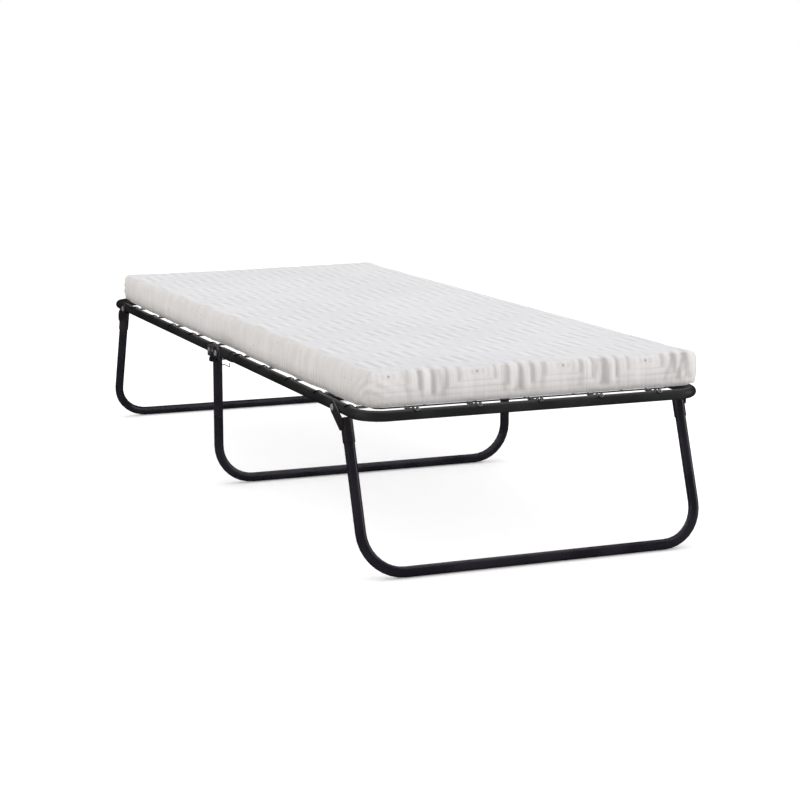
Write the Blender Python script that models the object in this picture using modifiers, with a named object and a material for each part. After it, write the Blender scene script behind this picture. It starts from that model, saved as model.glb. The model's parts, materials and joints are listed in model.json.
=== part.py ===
"""Folding cot: a two-part tubular frame hinged across its middle, three swing-down U legs,
a wire deck hung on hooks, and a thin knit-covered foam mattress.

Metres, +Z up. The cot stands on Z = 0, centred on X and Y. +X is the foot end, -X the head end.
"""
import math

import bpy
import bmesh
from mathutils import Matrix, Vector

MM = 0.001

# ---- driving dimensions, in millimetres ----
TUBE_R = 11.1          # rail and leg tube, outer radius (7/8 in tube)
RAIL_Z = 324.0         # height of the rail axis
RAIL_Y = 375.0         # half the spacing of the side rails
RAIL_X = 940.0         # distance of the end rails' axis from the middle
CORNER_R = 52.0        # bend radius of the rail corners

HINGE_X = 45.0         # axis of the fold hinge, and of the middle leg's pivot
HEAD_RAIL_END = HINGE_X - 24.0
FOOT_RAIL_END = HINGE_X - 4.6
SLEEVE_R, SLEEVE_BORE = 12.7, 11.4
SLEEVE_FROM, SLEEVE_TO = HINGE_X - 5.0, HINGE_X + 75.0

PLATE_IN, PLATE_OUT = RAIL_Y + 13.0, RAIL_Y + 15.4     # hinge plate, inner and outer face
EAR_IN, EAR_OUT = RAIL_Y + 15.7, RAIL_Y + 18.7         # ear of the middle leg

PIVOT_X = 807.0        # pivot of each end leg
LEG_TOP_X = 840.0      # where an end leg's axis would cross the rail's height
LEG_FOOT_X = 951.0     # axis of an end leg's floor bar
LEG_BEND_R = 84.0      # bend radius of every leg
BAR_Z = TUBE_R         # height of the floor bars' axis
SOCKET_R, SOCKET_BORE = 12.7, 11.4
SOCKET_RIM, SOCKET_LEN = 28.0, 50.0    # rim's distance along the leg from the pivot's foot point; length
LEG_EAR_IN, LEG_EAR_OUT = RAIL_Y + 11.6, RAIL_Y + 14.6

PIN_R, PIN_HOLE_R = 4.0, 4.3

WIRE_R = 1.75          # deck wires
WIRE_Z = RAIL_Z + 6.5
HOOK_R = 1.5           # wire of the hooks over the rails
DECK_Y = 332.0         # half width of the wire deck
DECK_END_X = 893.0
DECK_GAP = 35.0        # each deck half starts this far from the hinge axis

MATT_X = 926.0
MATT_Y = (-360.0, 382.0)
MATT_Z = (RAIL_Z + 8.6, RAIL_Z + 83.0)
MATT_STEP = (RAIL_Y - TUBE_R - 1.1, RAIL_Z + 14.9)   # where the right edge steps up over the rail and its hooks
MATT_END_STEP = (878.0, RAIL_Z + 11.6)               # where the ends step up over the rails' rounded corners
MATT_FLEX = 155.0      # the stretch each side of the hinge that bends when the cot folds
MATT_ROUND = 12.0

END_HOOKS_Y = [-270.0, -135.0, 0.0, 135.0, 270.0]
FOOT_HOOKS_X = [160.0, 335.0, 510.0, 685.0, 862.0]
HEAD_HOOKS_X = [-40.0, -205.0, -380.0, -555.0, -735.0]

# ---- a clean file ----
for old in list(bpy.data.objects):
    bpy.data.objects.remove(old, do_unlink=True)

parts = bpy.data.collections.new("folding_cot")
cutters = bpy.data.collections.new("folding_cot_cutters")
bpy.context.scene.collection.children.link(parts)
bpy.context.scene.collection.children.link(cutters)


def material(name, colour, roughness, metallic=0.0):
    mat = bpy.data.materials.new(name)
    mat.use_nodes = True
    shader = mat.node_tree.nodes["Principled BSDF"]
    shader.inputs["Base Color"].default_value = (*colour, 1.0)
    shader.inputs["Roughness"].default_value = roughness
    shader.inputs["Metallic"].default_value = metallic
    mat.diffuse_color = (*colour, 1.0)
    return mat


RAIL_BLACK = (0.012, 0.015, 0.013)
LEG_BLACK = (0.014, 0.013, 0.018)
HINGE_BROWN = (0.05, 0.045, 0.042)
STEEL = (0.55, 0.54, 0.52)
WIRE = (0.09, 0.09, 0.09)
COVER = (0.80, 0.79, 0.77)


# ---- placing ----
def empty(name, at, parent=None):
    """A pivot: an empty on a joint's axis."""
    e = bpy.data.objects.new(name, None)
    e.empty_display_size = 0.05
    parts.objects.link(e)
    if parent is not None:
        e.parent = parent
        e.location = Vector(at) * MM - parent.matrix_world.translation
    else:
        e.location = Vector(at) * MM
    bpy.context.view_layer.update()
    return e


def as_part(obj, colour, roughness, metallic, pivot=None):
    """Puts a shape modelled in world space in the parts collection, its origin on its pivot."""
    for c in list(obj.users_collection):
        c.objects.unlink(obj)
    parts.objects.link(obj)
    obj.data.materials.clear()
    obj.data.materials.append(material(obj.name, colour, roughness, metallic))
    if pivot is not None:
        obj.data.transform(Matrix.Translation(-pivot.matrix_world.translation))
        obj.parent = pivot
        obj.location = (0, 0, 0)
    obj.data.shade_smooth()
    obj.data.set_sharp_from_angle(angle=math.radians(38))
    return obj


def as_cutter(obj):
    for c in list(obj.users_collection):
        c.objects.unlink(obj)
    cutters.objects.link(obj)
    obj.hide_render = True
    obj.display_type = "WIRE"
    return obj


def boolean(obj, other, operation):
    mod = obj.modifiers.new(f"{operation.lower()} {other.name}", "BOOLEAN")
    mod.operation = operation
    mod.solver = "EXACT"
    mod.object = other
    return mod


# ---- shapes, all in world millimetres ----
def mesh_object(name, bm):
    mesh = bpy.data.meshes.new(name)
    bmesh.ops.recalc_face_normals(bm, faces=bm.faces)
    bm.to_mesh(mesh)
    bm.free()
    obj = bpy.data.objects.new(name, mesh)
    bpy.context.scene.collection.objects.link(obj)
    return obj


def box(name, low, high):
    bm = bmesh.new()
    bmesh.ops.create_cube(bm, size=1.0)
    size = [(b - a) * MM for a, b in zip(low, high)]
    mid = [(a + b) * 0.5 * MM for a, b in zip(low, high)]
    bmesh.ops.scale(bm, vec=size, verts=bm.verts)
    bmesh.ops.translate(bm, vec=mid, verts=bm.verts)
    return mesh_object(name, bm)


def cylinder(name, start, end, radius, sides=24):
    """A cylinder between two points."""
    a, b = Vector(start) * MM, Vector(end) * MM
    along = b - a
    bm = bmesh.new()
    bmesh.ops.create_cone(bm, cap_ends=True, segments=sides, radius1=radius * MM, radius2=radius * MM, depth=along.length)
    turn = Vector((0, 0, 1)).rotation_difference(along.normalized()).to_matrix().to_4x4()
    bmesh.ops.transform(bm, matrix=Matrix.Translation((a + b) * 0.5) @ turn, verts=bm.verts)
    return mesh_object(name, bm)


def rounded(points, radius, steps, closed=False):
    """The polyline with each inner corner replaced by an arc."""
    out = []
    n = len(points)
    for i, p in enumerate(points):
        if not closed and i in (0, n - 1):
            out.append(Vector(p))
            continue
        p = Vector(p)
        back = (Vector(points[i - 1]) - p).normalized()
        ahead = (Vector(points[(i + 1) % n]) - p).normalized()
        angle = back.angle(ahead)
        if abs(math.pi - angle) < 1e-4:
            out.append(p)
            continue
        reach = radius / math.tan(angle / 2)
        centre = p + (back + ahead).normalized() * (radius / math.sin(angle / 2))
        a, b = p + back * reach - centre, p + ahead * reach - centre
        sweep = a.angle(b)
        axis = a.cross(b).normalized()
        for k in range(steps + 1):
            out.append(centre + Matrix.Rotation(sweep * k / steps, 3, axis) @ a)
    return out


def tube(name, points, radius, resolution, closed=False):
    """A bevelled curve through the points, as a closed mesh."""
    curve = bpy.data.curves.new(name, "CURVE")
    curve.dimensions = "3D"
    curve.bevel_depth = radius * MM
    curve.bevel_resolution = resolution
    curve.use_fill_caps = True
    spline = curve.splines.new("POLY")
    spline.points.add(len(points) - 1)
    for point, p in zip(spline.points, points):
        point.co = (*(Vector(p) * MM), 1.0)
    spline.use_cyclic_u = closed
    temp = bpy.data.objects.new(name + "_curve", curve)
    bpy.context.scene.collection.objects.link(temp)
    bpy.context.view_layer.update()
    mesh = bpy.data.meshes.new_from_object(temp.evaluated_get(bpy.context.evaluated_depsgraph_get()))
    matrix = temp.matrix_world.copy()
    bpy.data.objects.remove(temp, do_unlink=True)
    bpy.data.curves.remove(curve)
    bm = bmesh.new()
    bm.from_mesh(mesh)
    bmesh.ops.remove_doubles(bm, verts=bm.verts, dist=0.00001)
    bmesh.ops.recalc_face_normals(bm, faces=bm.faces)
    bm.to_mesh(mesh)
    bm.free()
    mesh.name = name
    obj = bpy.data.objects.new(name, mesh)
    obj.matrix_world = matrix
    bpy.context.scene.collection.objects.link(obj)
    return obj


def sheet_plate(name, outline_xz, y_from, y_to):
    """A flat outline in X and Z, extruded along Y."""
    curve = bpy.data.curves.new(name, "CURVE")
    curve.dimensions = "2D"
    curve.fill_mode = "BOTH"
    curve.extrude = abs(y_to - y_from) * 0.5 * MM
    spline = curve.splines.new("POLY")
    spline.points.add(len(outline_xz) - 1)
    for point, (x, z) in zip(spline.points, outline_xz):
        point.co = (x * MM, z * MM, 0.0, 1.0)
    spline.use_cyclic_u = True
    temp = bpy.data.objects.new(name + "_curve", curve)
    bpy.context.scene.collection.objects.link(temp)
    bpy.context.view_layer.update()
    mesh = bpy.data.meshes.new_from_object(temp.evaluated_get(bpy.context.evaluated_depsgraph_get()))
    bpy.data.objects.remove(temp, do_unlink=True)
    bpy.data.curves.remove(curve)
    bm = bmesh.new()
    bm.from_mesh(mesh)
    bmesh.ops.remove_doubles(bm, verts=bm.verts, dist=0.00001)
    bmesh.ops.rotate(bm, verts=bm.verts, cent=(0, 0, 0), matrix=Matrix.Rotation(math.radians(90), 3, "X"))
    bmesh.ops.translate(bm, verts=bm.verts, vec=(0, (y_from + y_to) * 0.5 * MM, 0))
    bmesh.ops.recalc_face_normals(bm, faces=bm.faces)
    bm.to_mesh(mesh)
    bm.free()
    mesh.name = name
    obj = bpy.data.objects.new(name, mesh)
    bpy.context.scene.collection.objects.link(obj)
    return obj


def hull(points):
    """Convex outline of a set of (x, z) points."""
    pts = sorted(set((round(x, 4), round(z, 4)) for x, z in points))

    def half(seq):
        out = []
        for p in seq:
            while len(out) > 1 and (out[-1][0] - out[-2][0]) * (p[1] - out[-2][1]) - (out[-1][1] - out[-2][1]) * (p[0] - out[-2][0]) <= 1e-9:
                out.pop()
            out.append(p)
        return out[:-1]

    return half(pts) + half(reversed(pts))


def disc(x, z, radius, steps=28):
    return [(x + radius * math.cos(2 * math.pi * k / steps), z + radius * math.sin(2 * math.pi * k / steps)) for k in range(steps)]


def rivet(name, x, z, side, inner, outer, head_r=7.0, head_h=3.2, tail_r=6.0, tail_h=2.8, shank_r=PIN_R, steps=16):
    """A domed rivet across the rail. Its heads bear on the faces at |Y| = inner and outer."""
    profile = []
    dome = 4
    for k in range(dome + 1):
        a = math.radians(90 * k / dome)
        profile.append((head_r * math.sin(a), outer + head_h * (0.25 + 0.75 * math.cos(a))))
    profile += [(head_r, outer), (shank_r, outer), (shank_r, inner), (tail_r, inner), (tail_r, inner - tail_h), (0.0, inner - tail_h)]
    mesh = bpy.data.meshes.new(name)
    bm = bmesh.new()
    verts = [bm.verts.new((r * MM, 0, h * MM)) for r, h in profile]
    for a, b in zip(verts, verts[1:]):
        bm.edges.new((a, b))
    bm.to_mesh(mesh)
    bm.free()
    obj = bpy.data.objects.new(name, mesh)
    bpy.context.scene.collection.objects.link(obj)
    screw = obj.modifiers.new("turn", "SCREW")
    screw.axis = "Z"
    screw.steps = screw.render_steps = steps
    screw.use_merge_vertices = True
    screw.merge_threshold = 0.00001
    bpy.context.view_layer.update()
    turned = bpy.data.meshes.new_from_object(obj.evaluated_get(bpy.context.evaluated_depsgraph_get()))
    bpy.data.objects.remove(obj, do_unlink=True)
    # local +Z becomes outward across the cot
    turned.transform(Matrix.Translation((x * MM, 0, z * MM)) @ Matrix.Rotation(math.radians(-90 * side), 4, "X"))
    turned.name = name
    out = bpy.data.objects.new(name, turned)
    bpy.context.scene.collection.objects.link(out)
    return out


def cross_hole(name, x, z, radius, side=None, span=(340.0, 420.0)):
    """A cutter along Y through one side of the frame."""
    return as_cutter(cylinder(name, (x, side * span[0], z), (x, side * span[1], z), radius, 16))


SIDES = (("left", -1), ("right", 1))

# ---- pivots ----
fold_pivot = empty("fold_pivot", (HINGE_X, 0, RAIL_Z))
middle_leg_pivot = empty("middle_leg_pivot", (HINGE_X, 0, RAIL_Z))
head_leg_pivot = empty("head_leg_pivot", (-PIVOT_X, 0, RAIL_Z))
foot_leg_pivot = empty("foot_leg_pivot", (PIVOT_X, 0, RAIL_Z), fold_pivot)

# ---- rails: one U of tube for each half ----
for end, sign, start, pivot in (("head", -1, HEAD_RAIL_END, None), ("foot", 1, FOOT_RAIL_END, fold_pivot)):
    path = rounded(
        [(start, -RAIL_Y, RAIL_Z), (sign * RAIL_X, -RAIL_Y, RAIL_Z), (sign * RAIL_X, RAIL_Y, RAIL_Z), (start, RAIL_Y, RAIL_Z)],
        CORNER_R, 9)
    rail = tube(f"rail_{end}", path, TUBE_R, 6)
    for tag, s in SIDES:
        boolean(rail, cross_hole(f"cut_rail_{end}_leg_{tag}", sign * PIVOT_X, RAIL_Z, PIN_HOLE_R, s), "DIFFERENCE")
        if end == "foot":
            boolean(rail, cross_hole(f"cut_rail_foot_pin_{tag}", HINGE_X, RAIL_Z, PIN_HOLE_R, s), "DIFFERENCE")
        else:
            for k, dx in enumerate((-62.0, -36.0)):
                boolean(rail, cross_hole(f"cut_rail_head_plate_{tag}_{k}", HINGE_X + dx, RAIL_Z, 3.3, s), "DIFFERENCE")
    as_part(rail, RAIL_BLACK, 0.38, 0.0, pivot)

# ---- fold hinge: plate on the head half, sleeve on the foot half, one pin through both ----
for tag, s in SIDES:
    sleeve = cylinder(f"hinge_sleeve_{tag}", (SLEEVE_FROM, s * RAIL_Y, RAIL_Z), (SLEEVE_TO, s * RAIL_Y, RAIL_Z), SLEEVE_R, 24)
    bore = as_cutter(cylinder(f"cut_sleeve_bore_{tag}", (SLEEVE_FROM - 5, s * RAIL_Y, RAIL_Z), (SLEEVE_TO + 5, s * RAIL_Y, RAIL_Z), SLEEVE_BORE, 24))
    boolean(sleeve, bore, "DIFFERENCE")
    boolean(sleeve, cross_hole(f"cut_sleeve_pin_{tag}", HINGE_X, RAIL_Z, PIN_HOLE_R, s), "DIFFERENCE")
    as_part(sleeve, RAIL_BLACK, 0.42, 0.0, fold_pivot)

    # the plate: straight along the rail, rounded round the pin, its lower edge just under the rail
    outline = hull(disc(HINGE_X, RAIL_Z, 15.5) + [(HINGE_X - 75, RAIL_Z - 15.5), (HINGE_X - 75, RAIL_Z + 9), (HINGE_X - 72, RAIL_Z + 11.5), (HINGE_X - 20, RAIL_Z + 11.5)])
    plate = sheet_plate(f"hinge_plate_{tag}", outline, s * PLATE_IN, s * PLATE_OUT)
    pad = as_cutter(box(f"add_plate_pad_{tag}", (HINGE_X - 73, min(s * (RAIL_Y + 11.4), s * (PLATE_IN + 1)), RAIL_Z - 8), (HINGE_X - 27, max(s * (RAIL_Y + 11.4), s * (PLATE_IN + 1)), RAIL_Z + 8)))
    lip = as_cutter(box(f"add_plate_lip_{tag}", (HINGE_X + 6, min(s * (RAIL_Y - 5), s * (PLATE_IN + 1)), RAIL_Z - 15.3), (HINGE_X + 13, max(s * (RAIL_Y - 5), s * (PLATE_IN + 1)), RAIL_Z - 13.0)))
    boolean(plate, pad, "UNION")
    boolean(plate, lip, "UNION")
    boolean(plate, cross_hole(f"cut_plate_pin_{tag}", HINGE_X, RAIL_Z, PIN_HOLE_R, s), "DIFFERENCE")
    for k, dx in enumerate((-62.0, -36.0)):
        boolean(plate, cross_hole(f"cut_plate_rivet_{tag}_{k}", HINGE_X + dx, RAIL_Z, 3.3, s), "DIFFERENCE")
    as_part(plate, HINGE_BROWN, 0.42, 0.6)

    as_part(rivet(f"plate_rivet_{tag}_far", HINGE_X - 62, RAIL_Z, s, RAIL_Y - TUBE_R - 0.3, PLATE_OUT + 0.3, 5.0, 2.2, 5.0, 2.0, 3.0, 12), STEEL, 0.3, 1.0)
    as_part(rivet(f"plate_rivet_{tag}_near", HINGE_X - 36, RAIL_Z, s, RAIL_Y - TUBE_R - 0.3, PLATE_OUT + 0.3 - 0.2, 4.6, -0.0001 + 0.2, 5.0, 2.0, 3.0, 12), STEEL, 0.3, 1.0)
    as_part(rivet(f"hinge_pin_{tag}", HINGE_X, RAIL_Z, s, RAIL_Y - SLEEVE_R - 0.3, EAR_OUT + 0.3, 7.5, 3.4, 7.0, 2.8), STEEL, 0.28, 1.0)

# ---- the end legs ----
lean = math.atan2(LEG_FOOT_X - LEG_TOP_X, RAIL_Z - BAR_Z)
for end, sign, pivot, parent in (("head", -1, head_leg_pivot, None), ("foot", 1, foot_leg_pivot, fold_pivot)):
    down = Vector((sign * math.sin(lean), 0, -math.cos(lean)))
    across = Vector((sign * math.cos(lean), 0, math.sin(lean)))
    off = (LEG_TOP_X - PIVOT_X) * math.cos(lean)
    foot_point = Vector((sign * PIVOT_X, 0, RAIL_Z)) + across * off

    def on_leg(t, y, foot_point=foot_point, down=down):
        p = foot_point + down * t
        return (p.x, y, p.z)

    path = rounded(
        [on_leg(SOCKET_RIM + 4, -RAIL_Y), (sign * LEG_FOOT_X, -RAIL_Y, BAR_Z), (sign * LEG_FOOT_X, RAIL_Y, BAR_Z), on_leg(SOCKET_RIM + 4, RAIL_Y)],
        LEG_BEND_R, 9)
    as_part(tube(f"leg_{end}", path, TUBE_R, 6), LEG_BLACK, 0.34, 0.0, pivot)

    for tag, s in SIDES:
        socket = cylinder(f"leg_socket_{end}_{tag}", on_leg(SOCKET_RIM, s * RAIL_Y), on_leg(SOCKET_RIM + SOCKET_LEN, s * RAIL_Y), SOCKET_R, 24)
        # the ear: a round end on the pivot that runs down onto the socket's outer wall
        low, high = on_leg(SOCKET_RIM + 24, 0), on_leg(SOCKET_RIM + 2, 0)
        shape = disc(sign * PIVOT_X, RAIL_Z, 13.0)
        for (x, _, z), half in ((high, 10.0), (on_leg(SOCKET_RIM + 14, 0), 9.5), (low, 6.0)):
            shape += [(x + across.x * half, z + across.z * half), (x - across.x * half, z - across.z * half)]
        ear = as_cutter(sheet_plate(f"add_ear_{end}_{tag}", hull(shape), s * LEG_EAR_IN, s * LEG_EAR_OUT))
        boolean(socket, ear, "UNION")
        bore = as_cutter(cylinder(f"cut_socket_bore_{end}_{tag}", on_leg(SOCKET_RIM - 8, s * RAIL_Y), on_leg(SOCKET_RIM + SOCKET_LEN + 8, s * RAIL_Y), SOCKET_BORE, 24))
        boolean(socket, bore, "DIFFERENCE")
        boolean(socket, cross_hole(f"cut_ear_{end}_{tag}", sign * PIVOT_X, RAIL_Z, PIN_HOLE_R, s), "DIFFERENCE")
        as_part(socket, HINGE_BROWN, 0.40, 0.3, pivot)
        as_part(rivet(f"leg_rivet_{end}_{tag}", sign * PIVOT_X, RAIL_Z, s, RAIL_Y - TUBE_R - 0.3, LEG_EAR_OUT + 0.3), STEEL, 0.28, 1.0, parent)

# ---- the middle leg: a U of tube under the rails, an ear on each side up to the hinge pin ----
path = rounded(
    [(0, -RAIL_Y, RAIL_Z - TUBE_R - 0.6), (0, -RAIL_Y, BAR_Z), (0, RAIL_Y, BAR_Z), (0, RAIL_Y, RAIL_Z - TUBE_R - 0.6)],
    LEG_BEND_R, 9)
leg = tube("leg_middle", path, TUBE_R, 6)
for tag, s in SIDES:
    shape = disc(HINGE_X, RAIL_Z, 14.5) + [(-8.0, RAIL_Z - 19), (-8.0, RAIL_Z - 26), (10.0, RAIL_Z - 26)]
    ear = as_cutter(sheet_plate(f"add_middle_ear_{tag}", hull(shape), s * EAR_IN, s * EAR_OUT))
    step = as_cutter(box(f"add_middle_step_{tag}", (-7.5, min(s * (RAIL_Y + 5), s * (EAR_OUT - 0.5)), RAIL_Z - 25.5), (9.5, max(s * (RAIL_Y + 5), s * (EAR_OUT - 0.5)), RAIL_Z - 19.5)))
    boolean(leg, step, "UNION")
    boolean(leg, ear, "UNION")
    boolean(leg, cross_hole(f"cut_middle_ear_{tag}", HINGE_X, RAIL_Z, PIN_HOLE_R, s), "DIFFERENCE")
as_part(leg, LEG_BLACK, 0.34, 0.0, middle_leg_pivot)

# a wire catch beside the middle leg, inboard of the rail
for tag, s in SIDES:
    z = RAIL_Z - 36.0
    wire = rounded([(0, s * (RAIL_Y - TUBE_R - 0.4), z), (0, s * (RAIL_Y - 17), z), (40, s * (RAIL_Y - 17), z), (40, s * (RAIL_Y - 17), z + 9)], 3.0, 4)
    as_part(tube(f"leg_catch_{tag}", wire, 1.1, 2), STEEL, 0.35, 1.0, middle_leg_pivot)

# ---- wire deck: a ring, long wires, cross wires welded beneath, and hooks over the rails ----
for end, sign, pivot, hooks in (("head", -1, None, HEAD_HOOKS_X), ("foot", 1, fold_pivot, FOOT_HOOKS_X)):
    near = HINGE_X + sign * DECK_GAP
    far = sign * DECK_END_X
    wires = bpy.data.collections.new(f"deck_{end}_wires")
    cutters.children.link(wires)

    def add(obj, wires=wires):
        as_cutter(obj)
        cutters.objects.unlink(obj)
        wires.objects.link(obj)

    ring = tube(f"deck_{end}", rounded([(near, -DECK_Y, WIRE_Z), (far, -DECK_Y, WIRE_Z), (far, DECK_Y, WIRE_Z), (near, DECK_Y, WIRE_Z)], 16.0, 3, True), WIRE_R, 1, True)
    for k in range(1, 6):
        y = -DECK_Y + 2 * DECK_Y * k / 6
        add(tube(f"deck_{end}_long_{k}", [(near, y, WIRE_Z - 0.3), (far, y, WIRE_Z - 0.3)], WIRE_R - 0.25, 1))
    count = 8
    for k in range(1, count):
        x = near + (far - near) * k / count
        add(tube(f"deck_{end}_cross_{k}", [(x, -DECK_Y, WIRE_Z - 1.9), (x, DECK_Y, WIRE_Z - 1.9)], WIRE_R - 0.3, 1))
    bend = TUBE_R + 0.3 + HOOK_R
    rise = math.asin((WIRE_Z - RAIL_Z) / bend)
    arc = [math.pi - rise - (math.pi - rise - math.radians(42)) * k / 5 for k in range(6)]
    for k, x in enumerate(hooks):
        for tag, s in SIDES:
            pts = [(x, s * (DECK_Y + 0.4), WIRE_Z)] + [(x, s * (RAIL_Y + bend * math.cos(a)), RAIL_Z + bend * math.sin(a)) for a in arc]
            add(tube(f"deck_{end}_hook_{tag}_{k}", pts, HOOK_R, 1))
    for k, y in enumerate(END_HOOKS_Y):
        pts = [(sign * (DECK_END_X + 0.4), y, WIRE_Z)] + [(sign * (RAIL_X + bend * math.cos(a)), y, RAIL_Z + bend * math.sin(a)) for a in arc]
        add(tube(f"deck_{end}_hook_end_{k}", pts, HOOK_R, 1))
    mod = ring.modifiers.new("weld the wires", "BOOLEAN")
    mod.operation = "UNION"
    mod.solver = "EXACT"
    mod.operand_type = "COLLECTION"
    mod.collection = wires
    as_part(ring, WIRE, 0.35, 0.8, pivot)

# ---- mattress: two slabs that ride on the halves and the stretch between them that bends ----
edges = (-MATT_X, HINGE_X - MATT_FLEX, HINGE_X + MATT_FLEX, MATT_X)
for name, x0, x1, pivot in (
    ("mattress_head", edges[0], edges[1] - 0.15, None),
    ("mattress_middle", edges[1] + 0.15, edges[2] - 0.15, None),
    ("mattress_foot", edges[2] + 0.15, edges[3], fold_pivot),
):
    slab = box(name, (x0, MATT_Y[0], MATT_Z[0]), (x1, MATT_Y[1], MATT_Z[1]))
    bm = bmesh.new()
    bm.from_mesh(slab.data)
    long_edges = []
    for e in bm.edges:
        a, b = e.verts[0].co, e.verts[1].co
        lengthwise = abs(a.x - b.x) > 1e-6
        outer_end = abs(a.x - b.x) < 1e-6 and abs(abs(a.x) - MATT_X * MM) < 1e-6
        if lengthwise or outer_end:
            long_edges.append(e)
    bmesh.ops.bevel(bm, geom=long_edges, offset=MATT_ROUND * MM, segments=4, profile=0.5, affect="EDGES")
    bm.to_mesh(slab.data)
    bm.free()
    step = as_cutter(box(f"cut_{name}_step", (-MATT_X - 20, MATT_STEP[0], MATT_Z[0] - 20), (MATT_X + 20, MATT_Y[1] + 20, MATT_STEP[1])))
    boolean(slab, step, "DIFFERENCE")
    for side, sign in (("head", -1), ("foot", 1)):
        if name.endswith(side):
            low, high = sorted((sign * MATT_END_STEP[0], sign * (MATT_X + 20)))
            boolean(slab, as_cutter(box(f"cut_{name}_end", (low, MATT_Y[0] - 20, MATT_Z[0] - 20), (high, MATT_Y[1] + 20, MATT_END_STEP[1]))), "DIFFERENCE")
    as_part(slab, COVER, 0.9, 0.0, pivot)
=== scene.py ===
"""Folding cot: finishes for the painted frame, coil springs on the deck hooks, and the knit-covered
foam mattress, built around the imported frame. Metres, +Z up, the cot standing on Z = 0.
"""
import json
import math

import bpy
import bmesh
import numpy as np
from mathutils import Matrix, Vector
from mathutils.kdtree import KDTree


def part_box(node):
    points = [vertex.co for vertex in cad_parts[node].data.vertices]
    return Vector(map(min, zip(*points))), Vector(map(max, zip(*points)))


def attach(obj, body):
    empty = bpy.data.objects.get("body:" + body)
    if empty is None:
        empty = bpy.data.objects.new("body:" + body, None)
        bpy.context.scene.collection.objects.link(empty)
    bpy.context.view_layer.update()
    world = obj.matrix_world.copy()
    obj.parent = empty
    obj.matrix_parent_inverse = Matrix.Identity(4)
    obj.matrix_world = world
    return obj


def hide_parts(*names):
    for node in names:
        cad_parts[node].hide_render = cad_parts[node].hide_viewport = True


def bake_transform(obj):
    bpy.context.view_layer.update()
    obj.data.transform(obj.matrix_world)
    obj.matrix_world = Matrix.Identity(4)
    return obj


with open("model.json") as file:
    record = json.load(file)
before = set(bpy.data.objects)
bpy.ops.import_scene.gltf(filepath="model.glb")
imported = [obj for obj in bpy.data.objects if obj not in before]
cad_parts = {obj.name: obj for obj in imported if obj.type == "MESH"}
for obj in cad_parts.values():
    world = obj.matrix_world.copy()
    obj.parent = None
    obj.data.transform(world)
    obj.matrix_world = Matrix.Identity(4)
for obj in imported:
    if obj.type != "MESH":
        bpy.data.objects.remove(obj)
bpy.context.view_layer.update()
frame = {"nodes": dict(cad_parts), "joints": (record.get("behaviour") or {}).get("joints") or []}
NODES = frame["nodes"]
MM = 0.001


scene = bpy.context.scene
scene.view_settings.view_transform = "Standard"

HINGE_X, RAIL_Z = 0.045, 0.324
for joint in frame["joints"]:
    if joint["name"] == "fold":
        HINGE_X, RAIL_Z = joint["pos_m"][0] if "pos_m" in joint else HINGE_X, RAIL_Z

# =====================================================================================
# the camera and the light
# =====================================================================================
camera = bpy.data.objects.new("camera", bpy.data.cameras.new("camera"))
scene.collection.objects.link(camera)
scene.camera = camera
yaw, pitch, roll = 2.748995, -0.176477, 0.000735
forward = Vector((math.cos(yaw) * math.cos(pitch), math.sin(yaw) * math.cos(pitch), math.sin(pitch)))
level = forward.cross(Vector((0, 0, 1))).normalized()
upright = level.cross(forward)
right = math.cos(roll) * level + math.sin(roll) * upright
up = -math.sin(roll) * level + math.cos(roll) * upright
turn = Matrix((right, up, -forward)).transposed().to_4x4()
camera.matrix_world = Matrix.Translation((4.521868, -1.781866, 1.045323)) @ turn
camera.data.sensor_width = 36.0
camera.data.lens = 2024.284 / 800.0 * 36.0
camera.data.clip_start, camera.data.clip_end = 0.05, 200.0
camera.data.dof.use_dof = False

world = bpy.data.worlds.new("studio")
scene.world = world
world.use_nodes = True
world.node_tree.nodes["Background"].inputs["Color"].default_value = (1.0, 1.0, 1.0, 1.0)
world.node_tree.nodes["Background"].inputs["Strength"].default_value = 1.0
world.cycles_visibility.glossy = False


def softbox(name, at, aim, size, power, colour=(1.0, 1.0, 1.0)):
    lamp = bpy.data.lights.new(name, "AREA")
    lamp.shape = "RECTANGLE"
    lamp.size, lamp.size_y = size
    lamp.energy = power
    lamp.color = colour
    o = bpy.data.objects.new(name, lamp)
    scene.collection.objects.link(o)
    o.location = at
    o.rotation_mode = "QUATERNION"
    o.rotation_quaternion = (Vector(aim) - Vector(at)).to_track_quat("-Z", "Y")
    return o


softbox("softbox_top", (-0.3, 0.2, 3.4), (0.0, 0.0, 0.3), (4.2, 2.6), 36.0)
softbox("strip_right", (1.9, 3.2, 1.3), (0.6, 0.0, 0.25), (0.5, 2.2), 16.0, (0.97, 0.95, 1.0))
softbox("fill_left", (0.3, -4.2, 1.9), (0.0, 0.0, 0.3), (3.4, 1.6), 13.0)

# =====================================================================================
# material building
# =====================================================================================


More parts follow.
